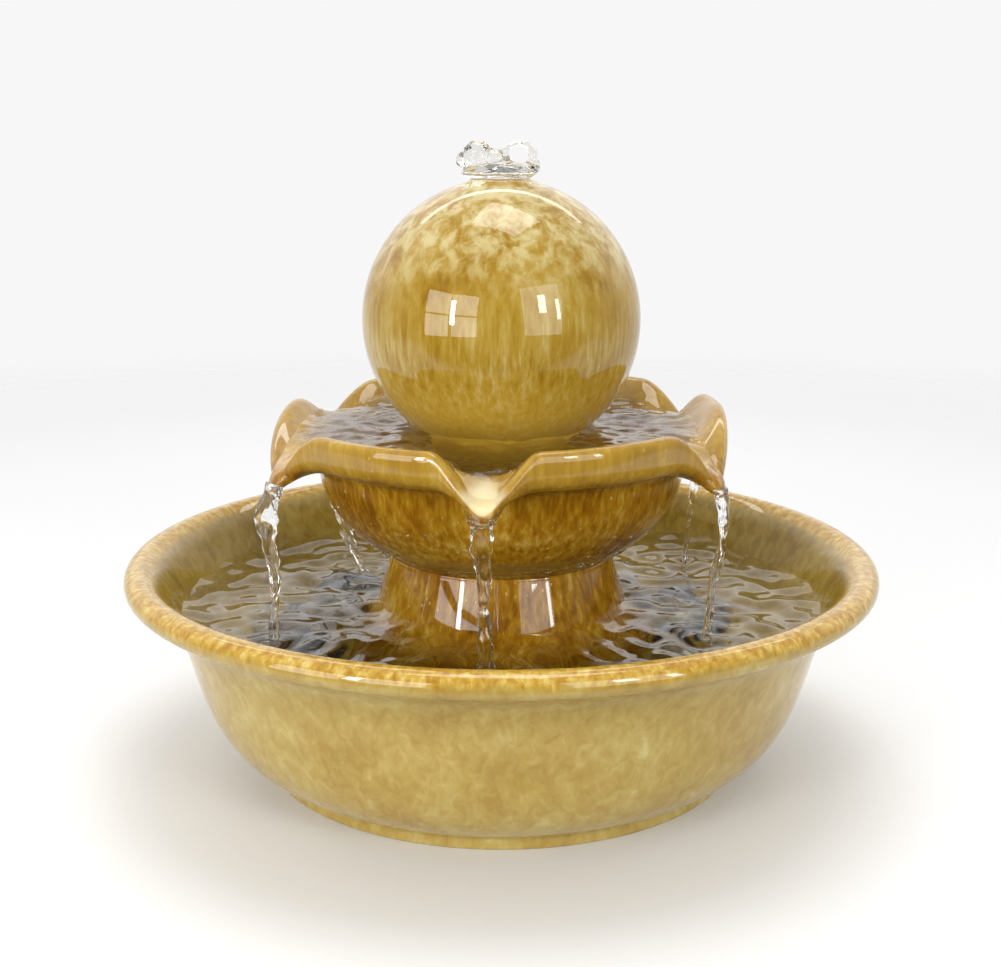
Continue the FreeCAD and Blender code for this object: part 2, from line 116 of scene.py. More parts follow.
def spline_weights(controls, degree, count):
    """Weights of a clamped uniform B-spline's control points at evenly spaced parameters."""
    spans = controls - degree
    knots = [0.0] * degree + list(range(spans + 1)) + [float(spans)] * degree
    rows = []
    for place in np.linspace(0, spans - 1e-9, count):
        basis = [1.0 if knots[i] <= place < knots[i + 1] else 0.0 for i in range(len(knots) - 1)]
        for k in range(1, degree + 1):
            raised = []
            for i in range(len(basis) - 1):
                left = knots[i + k] - knots[i]
                right = knots[i + k + 1] - knots[i + 1]
                value = 0.0
                if left > 0:
                    value += (place - knots[i]) / left * basis[i]
                if right > 0:
                    value += (knots[i + k + 1] - place) / right * basis[i + 1]
                raised.append(value)
            basis = raised
        rows.append(basis)
    return np.array(rows)


# ---- meshes ---------------------------------------------------------------------------------
def mesh_of_rings(name, rings, loop=False):
    """Closed mesh from rings of points: the last ring joins the first, or flat caps close both ends."""
    rings = np.asarray(rings, float) * MM
    count, around = rings.shape[:2]
    first = np.arange(count if loop else count - 1)[:, None] * around
    second = (first + around) % (count * around)
    side = np.arange(around)
    beside = (side + 1) % around
    corners = np.stack([first + side, first + beside, second + beside, second + side], axis=2).ravel()
    sizes = np.full(len(corners) // 4, 4)
    if not loop:
        corners = np.concatenate([corners, side[::-1], side + (count - 1) * around])
        sizes = np.concatenate([sizes, [around, around]])
    mesh = bpy.data.meshes.new(name)
    mesh.vertices.add(count * around)
    mesh.vertices.foreach_set("co", rings.ravel())
    mesh.loops.add(len(corners))
    mesh.loops.foreach_set("vertex_index", corners)
    mesh.polygons.add(len(sizes))
    mesh.polygons.foreach_set("loop_start", np.cumsum(sizes) - sizes)
    mesh.update(calc_edges=True)
    outward(mesh)
    return mesh


def outward(mesh):
    """Turn a closed mesh inside out if its faces look inwards."""
    centres, normals = (np.empty(3 * len(mesh.polygons)) for _ in range(2))
    areas = np.empty(len(mesh.polygons))
    mesh.polygons.foreach_get("center", centres)
    mesh.polygons.foreach_get("normal", normals)
    mesh.polygons.foreach_get("area", areas)
    if ((centres * normals).reshape(-1, 3).sum(axis=1) * areas).sum() < 0:
        mesh.flip_normals()


def lathe_rings(profile, around):
    """Rings of a solid of revolution about Z from (radius, height) points."""
    angles = np.linspace(0, 2 * pi, around, endpoint=False)
    profile = np.asarray(profile, float)
    radius = profile[:, 0][:, None]
    return np.stack([
        radius * np.cos(angles), radius * np.sin(angles), np.repeat(profile[:, 1][:, None], around, axis=1)
    ], axis=2)


def piece(mesh, body, material, stands_for=(), sharp=40):
    """Object that rides on a body, smooth but for edges sharper than an angle in degrees."""
    mesh.materials.append(material)
    mesh.shade_smooth()
    mesh.set_sharp_from_angle(angle=radians(sharp))
    thing = bpy.data.objects.new(mesh.name, mesh)
    bpy.context.collection.objects.link(thing)
    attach(thing, body)
    if stands_for:
        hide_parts(*stands_for)
    return thing


def applied(thing, *modifiers):
    """Give an object modifiers, as (kind, settings) pairs, and put their result in its mesh."""
    for kind, settings in modifiers:
        modifier = thing.modifiers.new(kind.lower(), kind)
        for key, value in settings.items():
            setattr(modifier, key, value)
    graph = bpy.context.evaluated_depsgraph_get()
    result = bpy.data.meshes.new_from_object(thing.evaluated_get(graph))
    thing.modifiers.clear()
    thing.data = result
    return thing


def scratch(mesh):
    """Object that only carries a mesh through some modifiers."""
    thing = bpy.data.objects.new("scratch", mesh)
    bpy.context.collection.objects.link(thing)
    return thing


def joined(name, meshes):
    """One mesh that holds several."""
    vertices, faces = [], []
    for mesh in meshes:
        start = len(vertices)
        vertices += [tuple(v.co) for v in mesh.vertices]
        faces += [tuple(start + i for i in face.vertices) for face in mesh.polygons]
    result = bpy.data.meshes.new(name)
    result.from_pydata(vertices, [], faces)
    result.update()
    return result


def melted(name, meshes, voxel, smooth_steps):
    """Several overlapping closed meshes run together into one, as drops of water do."""
    thing = scratch(joined(name, meshes))
    applied(
        thing,
        ("REMESH", dict(mode="VOXEL", voxel_size=voxel * MM, use_smooth_shade=True)),
        ("SMOOTH", dict(factor=0.5, iterations=smooth_steps)))
    mesh = thing.data
    mesh.name = name
    bpy.data.objects.remove(thing)
    return mesh


def sphere_mesh(centre, half_axes, turn=0.0, around=24):
    """Closed ellipsoid; the turn, in degrees, is about Z."""
    rings = []
    for latitude in np.linspace(-pi / 2 + 0.06, pi / 2 - 0.06, around // 2 + 1):
        ring = []
        for k in range(around):
            a = 2 * pi * k / around
            point = Vector((
                half_axes[0] * cos(latitude) * cos(a), half_axes[1] * cos(latitude) * sin(a),
                half_axes[2] * sin(latitude)))
            point.rotate(Matrix.Rotation(radians(turn), 3, "Z"))
            ring.append(tuple(point + Vector(centre)))
        rings.append(ring)
    return mesh_of_rings("ellipsoid", rings)


# ---- shader building ------------------------------------------------------------------------
class Shader:
    """A material's nodes, with short calls for the ones used here."""

    def __init__(self, name):
        self.material = bpy.data.materials.new(name)
        self.material.use_nodes = True
        self.tree = self.material.node_tree
        self.surface = self.tree.nodes["Principled BSDF"]
        place = self.node("ShaderNodeTexCoord")
        self.place = place.outputs["Object"]
        self.facing = place.outputs["Normal"]

    def node(self, kind, **settings):
        made = self.tree.nodes.new(kind)
        for key, value in settings.items():
            setattr(made, key, value)
        return made

    def feed(self, socket, value):
        if isinstance(value, bpy.types.NodeSocket):
            self.tree.links.new(value, socket)
        else:
            socket.default_value = value

    def set(self, **values):
        """Surface values by name, with _ for a space."""
        for key, value in values.items():
            self.feed(self.surface.inputs[key.replace("_", " ")], value)

    def stretched(self, scale, shift=(0, 0, 0), turn=(0, 0, 0)):
        mapping = self.node("ShaderNodeMapping")
        self.feed(mapping.inputs["Vector"], self.place)
        mapping.inputs["Scale"].default_value = scale
        mapping.inputs["Location"].default_value = shift
        mapping.inputs["Rotation"].default_value = turn
        return mapping.outputs["Vector"]

    def noise(self, scale, detail=4.0, roughness=0.55, distortion=0.0, where=None):
        """Noise whose scale is in features per metre."""
        made = self.node("ShaderNodeTexNoise")
        self.feed(made.inputs["Vector"], where or self.place)
        made.inputs["Scale"].default_value = scale
        made.inputs["Detail"].default_value = detail
        made.inputs["Roughness"].default_value = roughness
        made.inputs["Distortion"].default_value = distortion
        return made.outputs["Fac"]

    def cells(self, scale, where=None, feature="F1"):
        made = self.node("ShaderNodeTexVoronoi", feature=feature)
        self.feed(made.inputs["Vector"], where or self.place)
        made.inputs["Scale"].default_value = scale
        return made.outputs["Distance"]

    def span(self, value, low, high, to_low=0.0, to_high=1.0):
        """Smooth step of a value from one range to another."""
        made = self.node("ShaderNodeMapRange", interpolation_type="SMOOTHSTEP")
        self.feed(made.inputs["Value"], value)
        made.inputs["From Min"].default_value = low
        made.inputs["From Max"].default_value = high
        made.inputs["To Min"].default_value = to_low
        made.inputs["To Max"].default_value = to_high
        return made.outputs["Result"]

    def math(self, operation, first, second=0.0):
        made = self.node("ShaderNodeMath", operation=operation)
        self.feed(made.inputs[0], first)
        self.feed(made.inputs[1], second)
        return made.outputs[0]

    def ramp(self, value, *stops):
        """Colours at places between 0 and 1."""
        made = self.node("ShaderNodeValToRGB")
        elements = made.color_ramp.elements
        while len(elements) < len(stops):
            elements.new(0.5)
        for element, (place, colour) in zip(elements, stops):
            element.position = place
            element.color = (*colour, 1.0)
        self.feed(made.inputs["Fac"], value)
        return made.outputs["Color"]

    def mix(self, share, first, second):
        made = self.node("ShaderNodeMix", data_type="RGBA")
        self.feed(made.inputs[0], share)
        for socket, colour in ((made.inputs[6], first), (made.inputs[7], second)):
            if isinstance(colour, tuple):
                colour = (*colour, 1.0)
            self.feed(socket, colour)
        return made.outputs[2]

    def height(self):
        """Height above the table in millimetres."""
        split = self.node("ShaderNodeSeparateXYZ")
        self.feed(split.inputs[0], self.place)
        return self.math("MULTIPLY", split.outputs["Z"], 1 / MM)

    def radius(self):
        """Distance from the fountain's axis in millimetres."""
        flat = self.node("ShaderNodeVectorMath", operation="LENGTH")
        self.feed(flat.inputs[0], self.stretched((1 / MM, 1 / MM, 0)))
        return flat.outputs["Value"]

    def bump(self, *layers):
        """Bumps from (height, distance in millimetres) layers, one on the other."""
        normal = None
        for value, distance in layers:
            made = self.node("ShaderNodeBump")
            made.inputs["Distance"].default_value = distance * MM
            self.feed(made.inputs["Height"], value)
            if normal:
                self.feed(made.inputs["Normal"], normal)
            normal = made.outputs["Normal"]
        return normal


# ---- glazes ---------------------------------------------------------------------------------
def glaze_finish(shader, roughness, *layers):
    """A clear glossy coat over the coloured glaze, with the slight waves of a fired surface."""
    waves = shader.noise(90, 2.0)
    pits = shader.noise(900, 2.0)
    shader.set(
        Roughness=roughness, Specular_IOR_Level=0.0, Coat_Weight=1.0, Coat_Roughness=0.03, Coat_IOR=1.5,
        Normal=shader.bump((waves, 0.25), (pits, 0.02), *layers))


def honey_glaze():
    """Ball: fine vertical streaks of amber and pale honey, with paler flecks round the top."""
    shader = Shader("honey_glaze")
    height = shader.height()
    streaks = shader.noise(520, 5.0, 0.65, 0.3, shader.stretched((1, 1, 0.12)))
    flecks = shader.noise(190, 5.0, 0.62, 0.35, shader.stretched((1, 1, 0.6), (0.3, 0, 0)))
    upper = shader.span(height, BALL_Z - 10, BALL_Z + 30)
    pattern = shader.math("ADD", shader.math("MULTIPLY", streaks, shader.math("SUBTRACT", 1.0, upper)),
                          shader.math("MULTIPLY", flecks, upper))
    clouds = shader.noise(28, 3.0, 0.5)
    value = shader.math("ADD", shader.math("MULTIPLY", clouds, 0.45), shader.math("MULTIPLY", pattern, 0.75))
    colour = shader.ramp(
        value, (0.40, (0.221, 0.107, 0.0041)), (0.53, (0.320, 0.185, 0.0131)),
        (0.63, (0.385, 0.250, 0.0369)), (0.76, (0.476, 0.361, 0.123)))
    low = shader.span(height, BALL_Z - 8, BALL_Z - 36)
    colour = shader.mix(shader.math("MULTIPLY", low, 0.55), colour, (0.70, 0.43, 0.045))
    pale = shader.span(flecks, 0.40, 0.62)
    pale = shader.math("MULTIPLY", pale, shader.span(height, BALL_Z + 8, BALL_Z + 32))
    colour = shader.mix(shader.math("MULTIPLY", pale, 0.6), colour, (0.60, 0.52, 0.27))
    rust = shader.span(shader.noise(70, 3.0, 0.6), 0.62, 0.72)
    rust = shader.math("MULTIPLY", rust, shader.span(height, BALL_Z + 22, BALL_Z + 42))
    colour = shader.mix(rust, colour, (0.3444, 0.1558, 0.0164))
    shader.set(Base_Color=colour)
    glaze_finish(shader, 0.32, (streaks, 0.04))
    return shader.material


def amber_glaze():
    """Bowl and pedestal: deep amber runs, lighter on the petals, with painted shade on the upward faces under
    the bowl's water and a painted highlight on the front spout.
    """
    shader = Shader("amber_glaze")
    height = shader.height()
    streaks = shader.noise(460, 5.0, 0.66, 0.3, shader.stretched((1, 1, 0.12)))
    clouds = shader.noise(45, 3.0, 0.55)
    value = shader.math("ADD", shader.math("MULTIPLY", clouds, 0.5), shader.math("MULTIPLY", streaks, 0.7))
    colour = shader.ramp(
        value, (0.42, (0.132, 0.0484, 0.0018)), (0.55, (0.238, 0.101, 0.0035)),
        (0.66, (0.343, 0.180, 0.0106)), (0.80, (0.475, 0.326, 0.0704)))
    specks = shader.span(shader.cells(420, shader.stretched((1, 1, 0.5))), 0.16, 0.10)
    specks = shader.math("MULTIPLY", specks, shader.span(shader.noise(60), 0.50, 0.62))
    colour = shader.mix(shader.math("MULTIPLY", specks, 0.7), colour, (0.616, 0.4576, 0.1408))
    olive = shader.math("MULTIPLY", shader.span(height, 84.5, 80.0), shader.span(height, 74.3, 75.5))
    colour = shader.mix(shader.math("MULTIPLY", olive, 0.6), colour, (0.1936, 0.1408, 0.0396))
    petal = shader.span(height, 106.0, 116.0)
    colour = shader.mix(shader.math("MULTIPLY", petal, 0.45), colour, (0.46, 0.30, 0.045))
    facing = shader.node("ShaderNodeSeparateXYZ")
    shader.feed(facing.inputs[0], shader.facing)
    upward = shader.span(facing.outputs["Z"], 0.0, 0.4)
    radius = shader.radius()
    # Painted shade: upward faces inside the bowl, under its water, are darkened in colour.
    pool = shader.math("MULTIPLY", upward, shader.span(radius, 70.0, 62.0))
    pool = shader.math("MULTIPLY", pool, shader.span(height, 85.0, 87.0))
    colour = shader.mix(shader.math("MULTIPLY", pool, 0.6), colour, (0.10, 0.055, 0.009))
    # Painted highlight: the upward faces of the front spout turn pale cream, where the water on them would
    # catch the light.
    split = shader.node("ShaderNodeSeparateXYZ")
    shader.feed(split.inputs[0], shader.place)
    front = shader.span(split.outputs["Y"], -0.062, -0.071)
    spout = shader.math("MULTIPLY", front, shader.span(height, 114.0, 110.5))
    spout = shader.math("MULTIPLY", spout, upward)
    colour = shader.mix(shader.math("MULTIPLY", spout, 0.75), colour, (0.66, 0.58, 0.36))
    shader.set(Base_Color=colour)
    grit = shader.math("MULTIPLY", shader.noise(700, 3.0), olive)
    glaze_finish(shader, 0.28, (streaks, 0.05), (grit, 0.35))
    return shader.material


def sand_glaze():
    """Basin: sand with faint pale blotches, mottled amber on the lip, khaki inside."""
    shader = Shader("sand_glaze")
    height = shader.height()
    radius = shader.radius()
    drift = shader.noise(260, 5.0, 0.6, 0.6, shader.stretched((1, 1, 0.6), turn=(0, 0.5, 0)))
    clouds = shader.noise(40, 3.0, 0.5)
    value = shader.math("ADD", shader.math("MULTIPLY", clouds, 0.45), shader.math("MULTIPLY", drift, 0.65))
    outside = shader.ramp(
        value, (0.42, (0.316, 0.203, 0.0396)), (0.56, (0.376, 0.262, 0.0613)), (0.68, (0.425, 0.326, 0.0989)),
        (0.80, (0.494, 0.415, 0.178)))
    inside = shader.ramp(
        value, (0.42, (0.190, 0.116, 0.016)), (0.60, (0.285, 0.190, 0.032)), (0.80, (0.36, 0.265, 0.060)))
    shell_r = shader.math("ADD", shader.math("MULTIPLY", height, 0.46), 89.0)
    inner = shader.span(shader.math("SUBTRACT", radius, shell_r), 0.0, -4.0)
    inner = shader.math("MULTIPLY", inner, shader.span(height, 11.0, 12.9))
    colour = shader.mix(inner, outside, inside)
    runs = shader.noise(420, 4.0, 0.6, 0.3, shader.stretched((1, 1, 0.5)))
    lip = shader.ramp(
        runs, (0.34, (0.33, 0.16, 0.013)), (0.52, (0.46, 0.28, 0.036)), (0.70, (0.60, 0.45, 0.14)))
    edge = shader.math("ADD", height, shader.math("MULTIPLY", shader.noise(160, 3.0), 6.0))
    band = shader.math("MULTIPLY", shader.span(edge, 72.0, 75.0), shader.span(radius, 117.0, 121.5))
    colour = shader.mix(band, colour, lip)
    shader.set(Base_Color=colour)
    glaze_finish(shader, 0.36, (drift, 0.05))
    below_lip = shader.math("MULTIPLY", inner, shader.span(height, 71.0, 66.0))
    shader.set(Coat_Weight=shader.math("SUBTRACT", 1.0, shader.math("MULTIPLY", below_lip, 0.6)))
    return shader.material


# ---- stones, plastics, metals ---------------------------------------------------------------
def stone(name, dark, light, veins):
    shader = Shader(name)
    blotch = shader.noise(180, 6.0, 0.6, 0.8)
    grain = shader.noise(2200, 3.0)
    colour = shader.ramp(blotch, (0.35, dark), (0.68, light))
    vein = shader.span(shader.cells(95, shader.stretched((1, 1, 2.2)), "DISTANCE_TO_EDGE"), 0.03, 0.0)
    colour = shader.mix(shader.math("MULTIPLY", vein, 0.35), colour, veins)
    shader.set(Base_Color=colour, Roughness=shader.span(grain, 0.3, 0.7, 0.22, 0.4), Coat_Weight=0.4,
               Normal=shader.bump((blotch, 0.12), (grain, 0.02)))
    return shader.material


def moulded(name, dark, light, roughness=0.45, coat=0.0, clear=0.0):
    """Moulded plastic or rubber: faint clouding and a fine spark-eroded grain."""
    shader = Shader(name)
    clouds = shader.noise(60, 4.0)
    grain = shader.noise(3500, 2.0)
    shader.set(Base_Color=shader.ramp(clouds, (0.35, dark), (0.65, light)),
               Roughness=shader.span(grain, 0.3, 0.7, roughness - 0.08, roughness + 0.1), Coat_Weight=coat,
               Transmission_Weight=clear, Normal=shader.bump((grain, 0.02)))
    return shader.material


def metal(name, dark, light, roughness, stripes):
    """Metal with fine parallel lines across one axis, as in laminations or a winding."""
    shader = Shader(name)
    lines = shader.noise(1.0, 2.0, 0.5, 0.0, shader.stretched(stripes))
    shader.set(Base_Color=shader.ramp(lines, (0.35, dark), (0.65, light)), Metallic=1.0,
               Roughness=shader.span(lines, 0.3, 0.7, roughness, roughness + 0.2),
               Normal=shader.bump((lines, 0.08)))
    return shader.material


def foam():
    shader = Shader("foam")
    cells = shader.cells(900)
    shader.set(Base_Color=shader.ramp(cells, (0.1, (0.008, 0.008, 0.009)), (0.7, (0.07, 0.07, 0.072))),
               Roughness=0.9, Normal=shader.bump((cells, 0.6)))
    return shader.material


def water(name, tint):
    """Clear water that lets lamps through, so that what is under it is lit."""
    shader = Shader(name)
    shader.set(Base_Color=(*tint, 1.0), Roughness=0.0, IOR=1.333, Transmission_Weight=1.0)
    path = shader.node("ShaderNodeLightPath")
    clear = shader.node("ShaderNodeBsdfTransparent")
    clear.inputs["Color"].default_value = (*tint, 1.0)
    both = shader.node("ShaderNodeMixShader")
    shader.feed(both.inputs[0], path.outputs["Is Shadow Ray"])
    shader.feed(both.inputs[1], shader.surface.outputs["BSDF"])
    shader.feed(both.inputs[2], clear.outputs["BSDF"])
    shader.feed(shader.tree.nodes["Material Output"].inputs["Surface"], both.outputs[0])
    return shader.material


# ---- basin ----------------------------------------------------------------------------------
BASIN_WALL = (
    (84.3, 4.6), (91.8, 9.2), (98.3, 16), (103.3, 25), (107.4, 37), (111.2, 50), (116.4, 60), (122.4, 64.4),
    (125.6, 65.6), (128.7, 67.3), (129.5, 69.6), (128.2, 72.7), (124.6, 74), (122.5, 73.6), (120.6, 72.4),
    (116.2, 67.2), (111.6, 59), (107.2, 48), (102.6, 35), (97.4, 25), (90, 17.6), (81.5, 14), (72, 13))
BASIN_INSIDE = BASIN_WALL[14:]


def make_basin(glaze):
    foot = [
        *straight((0.4, 6), (71.6, 6), 8), *straight((72.0, 5.9), (74.8, 0.3), 5), (75.3, 0.0),
        *straight((76.5, 0), (82.4, 0), 4), *arc((82.4, 0.8), 0.8, -80, 0, 5),
        *straight((83.2, 1.4), (83.2, 3.2), 3),
        (83.35, 4.0)]
    wall = smooth_curve(BASIN_WALL, 230)
    floor = straight((71, 13), (0.4, 13), 16)
    rings = lathe_rings(np.array([*foot, *wall, *floor]), 400)
    return piece(mesh_of_rings("basin_shell", rings), "basin", glaze, ["basin"], 50)


# ---- pedestal -------------------------------------------------------------------------------
ARCH_ANGLES = (0, 90, 180)


def make_pedestal(glaze):
    top = PEDESTAL_TOP_Z
    profile = [
        *straight((52.3, 13), (54.3, 13), 3), *arc((54.5, 14.5), 1.5, -80, 5, 6),
        *smooth_curve([(55.9, 14.9), (49.6, 34), (44.2, 54), (38.6, top - 1.3)], 70),
        *arc((37.4, top - 1.2), 1.2, 5, 85, 6),
        *straight((37.0, top), (30.6, top), 6), (30.1, top - 0.4),
        *smooth_curve([(30, top - 4), (36.5, 62), (44.8, 34), (52.0, 13.3)], 60)]
    mesh = mesh_of_rings("pedestal_shell", lathe_rings(np.array(profile), 360), loop=True)
    shell = scratch(mesh)
    cutters = []
    for angle in ARCH_ANGLES:
        outline = [(-7.0, 5.0), *arc((0, 15), 7.0, 180, 0, 17).tolist(), (7.0, 5.0)]
        rings = []
        for reach in (40.0, 66.0):
            ring = []
            for side, z in outline:
                a = radians(angle)
                ring.append((reach * cos(a) - side * sin(a), reach * sin(a) + side * cos(a), z))
            rings.append(ring)
        cutter = scratch(mesh_of_rings("arch", rings))
        cutters.append(cutter)
    applied(shell, *[("BOOLEAN", dict(object=c, operation="DIFFERENCE", solver="MANIFOLD")) for c in cutters])
    mesh = shell.data
    mesh.name = "pedestal_shell"
    mesh.materials.clear()
    for thing in [shell, *cutters]:
        bpy.data.objects.remove(thing)
    return piece(mesh, "pedestal", glaze, ["pedestal"], 40)


# ---- upper bowl -----------------------------------------------------------------------------
SPOUTS = (
    # middle in degrees, then for its lower and its higher side the slope's width and fullness
    (-94, (11.5, 1.05), (11.5, 1.05)), (-32, (15.0, 2.3), (33.0, 1.9)), (27, (13.0, 1.7), (17.0, 1.7)),
    (90, (17.0, 1.7), (17.0, 1.7)), (148, (17.0, 1.7), (19.0, 1.7)), (206.5, (37.0, 1.5), (16.0, 2.4)))
LIP_RISE = 1.4
LIP_RISE_ANGLE = 55
BOWL_SECTION = np.array((
    # on a petal: radius, height; on a spout: radius, height
    ((42.6, 76.8), (42.6, 76.8)), ((45.6, 78.2), (45.6, 78.2)), ((50.4, 81.8), (50.4, 81.8)),
    ((55.6, 87.0), (55.6, 87.0)), ((59.8, 93.2), (59.8, 93.2)), ((62.2, 99.4), (62.2, 99.4)),
    ((63.0, 104.0), (63.0, 104.0)), ((63.6, 107.6), (63.6, 107.2)), ((66.2, 109.8), (67.2, 108.0)),
    ((72.6, 110.8), (73.6, 106.8)), ((75.8, 114.2), (79.4, 103.0)), ((76.7, 119.8), (82.4, 103.4)),
    ((76.4, 124.7), (81.4, 107.0)), ((72.4, 125.0), (77.4, 108.4)), ((68.0, 120.6), (71.2, 111.6)),
    ((62.0, 113.8), (64.8, 112.8)), ((59.2, 109.6), (59.8, 110.6)), ((58.2, 105.4), (58.2, 105.4)),
    ((57.6, 100.0), (57.6, 100.0)), ((55.0, 93.6), (55.0, 93.6)), ((49.8, 88.8), (49.8, 88.8)),
    ((44.6, 86.4), (44.6, 86.4)), ((40.0, 86.0), (40.0, 86.0))))


def sharp_share(theta, half_flat, narrower):
    share = 0.0
    for middle, lower_slope, higher_slope in SPOUTS:
        away = (theta - middle + 180) % 360 - 180
        width, fullness = lower_slope if away < 0 else higher_slope
        ramp = (abs(away) - half_flat) / (width * narrower - half_flat)
        share = max(share, (1 - min(max(ramp, 0.0), 1.0)) ** fullness)
    return share


def spout_share(theta, half_flat=0.6, narrower=1.0):
    """1 on a spout, 0 on a petal, with a slope between them that is eased over 3 degrees."""
    return sum(sharp_share(theta + d, half_flat, narrower) for d in (-1.5, -0.75, 0.0, 0.75, 1.5)) / 5


def around_bowl(sections, steps, half_flat=0.6, narrower=1.0, tilt=1.0):
    """Rings round the bowl from (petal, spout) pairs of section points, in order."""
    rings = np.zeros((len(sections), steps, 3))
    for k in range(steps):
        theta = 360.0 * k / steps
        share = spout_share(theta, half_flat, narrower)
        section = sections[:, 0] * (1 - share) + sections[:, 1] * share
        rise = LIP_RISE * cos(radians(theta - LIP_RISE_ANGLE)) * tilt
        rings[:, k, 0] = section[:, 0] * cos(radians(theta))
        rings[:, k, 1] = section[:, 0] * sin(radians(theta))
        rings[:, k, 2] = section[:, 1] + rise * np.clip((section[:, 1] - 107.0) / 17.0, 0, 1)
    return rings


def make_petal_bowl(glaze):
    bottom = BOWL_BOTTOM_Z
    foot = np.array([
        (8.0, 80.9), *straight((8.3, 80.5), (31.6, 80.5), 6),
        *straight((32.0, 80.3), (33.6, bottom + 0.3), 5),
        *straight((34.0, bottom), (38.6, bottom), 4), *arc((38.9, bottom + 1.4), 1.4, -80, -5, 5),
        *straight((40.6, 75.6), (42.4, 76.6), 4)])
    wall = spline_weights(len(BOWL_SECTION), 3, 180) @ BOWL_SECTION.reshape(len(BOWL_SECTION), 4)
    floor = np.array([
        *straight((39, 86), (20.6, 86), 6), *straight((20.4, 86.2), (20.4, 89.2), 3), (20.2, 89.45),
        *straight((19.9, 89.5), (17.5, 89.5), 3), (17.1, 89.4), *straight((17.0, 89.1), (17.0, 86.2), 3),
        *straight((16.8, 86), (8.3, 86), 3), *straight((8.0, 85.7), (8.0, 81.3), 3)])
    doubled = [np.repeat(part[:, None, :], 2, axis=1) for part in (foot, floor)]
    sections = np.concatenate([doubled[0], wall.reshape(-1, 2, 2), doubled[1]])
    mesh = mesh_of_rings("petal_bowl_shell", around_bowl(sections, 720), loop=True)
    return piece(mesh, "upper_bowl", glaze, ["petal_bowl"], 50)


# ---- ball -----------------------------------------------------------------------------------
def make_ball(glaze):
    centre = (0.0, BALL_Z)
    neck_z = BOWL_FLOOR_Z
    profile = [
        *straight((NECK_INSIDE_R + 0.2, neck_z), (NECK_OUTSIDE_R - 0.2, neck_z), 3),
        *straight((NECK_OUTSIDE_R, neck_z + 0.2), (NECK_OUTSIDE_R, 113.0), 20),
        *arc(centre, BALL_R, -57.6, 80.9, 190),
        (BALL_HOLE_R + 0.15, BALL_HIGH[2] - 0.05), (BALL_HOLE_R, BALL_HIGH[2] - 0.4),
        (BALL_HOLE_R, BALL_HIGH[2] - 3.6),
        *arc(centre, BALL_R - BALL_WALL, 80.2, -60.2, 120),
        *straight((NECK_INSIDE_R, 116.0), (NECK_INSIDE_R, neck_z + 0.3), 14)]
    mesh = mesh_of_rings("ball_shell", lathe_rings(np.array(profile), 300), loop=True)
    return piece(mesh, "ball", glaze, ["ball"], 50)


# ---- water ----------------------------------------------------------------------------------
# A stream leaves a spout and lands in the basin: spout number, angle and radius where it lands,
# width at the lip, width lower down, how far it swings out on its way, and its own seed.
STREAMS = {
    "front": (0, -93.5, 76.5, 7.0, 4.4, 0.0, 1),
    "right": (1, -36.3, 82.0, 8.0, 3.2, 3.6, 2),
    "back_right": (2, 30.0, 80.0, 6.0, 3.4, 1.0, 3),
    "back": (3, 91.0, 79.0, 6.0, 3.4, 0.5, 4),
    "back_left": (4, 149.1, 60.0, 7.0, 4.0, 0.0, 5),
    "left": (5, 213.4, 88.0, 13.0, 3.4, 4.0, 6),
}


# Middle of the water where it leaves a spout, under the surface of the bowl's water.
SPOUT_TIP_R = 81.8
SPOUT_TIP_Z = 105.2


def landings():
    return [(r * cos(radians(a)), r * sin(radians(a))) for _, a, r, *_ in STREAMS.values()]


def ripples(rings, centres, height, length, reach):
    """Heights of crossing ring waves from several centres, with a little unevenness."""
    total = np.zeros(rings.shape[:2])
    for n, (cx, cy) in enumerate(centres):
        x, y = rings[..., 0] - cx, rings[..., 1] - cy
        away = np.hypot(x, y)
        uneven = 0.8 + 0.35 * np.sin(0.05 * x + 2.3 * n) * np.cos(0.06 * y + n)
        fading = np.exp(-away / reach) * np.minimum(1.0, away / 2 + 0.35)
        total += height * uneven * fading * np.cos(2 * pi * away / length - 1.7 * n)
    return total


def chop(rings, size, height, seed):
    """Heights of irregular small waves."""
    total = np.zeros(rings.shape[:2])
    for i, k in np.ndindex(total.shape):
        point = Vector((rings[i, k, 0] / size, rings[i, k, 1] / size, seed))
        total[i, k] = height * (noise.noise(point) + 0.5 * noise.noise(point * 2.1))
    return total


def disc_rings(radii, around, z):
    return lathe_rings(np.array([(r, z) for r in radii]), around)


def make_basin_water(material):
    edge = [r for r, z in smooth_curve(BASIN_INSIDE, 200) if z >= BASIN_WATER_Z][-1] + 1.2
    rings = disc_rings(np.linspace(0.5, edge, 120), 360, BASIN_WATER_Z)
    radius = np.hypot(rings[..., 0], rings[..., 1])
    rings[..., 2] += ripples(rings, landings(), 0.70, 10.5, 30.0) + chop(rings, 15.0, 1.5, 3.0)
    rings[..., 2] += 0.5 * np.clip((radius - edge + 8) / 8, 0, 1) ** 3
    under = [(r + 1.2, z - 0.4) for r, z in smooth_curve(BASIN_INSIDE, 60) if z < BASIN_WATER_Z - 3]
    walls = lathe_rings(np.array(under + [(60.0, 12.4), (30.0, 12.3), (0.5, 12.3)]), 360)
    mesh = mesh_of_rings("basin_water", np.concatenate([rings, walls]))
    return piece(mesh, "basin", material, sharp=180)


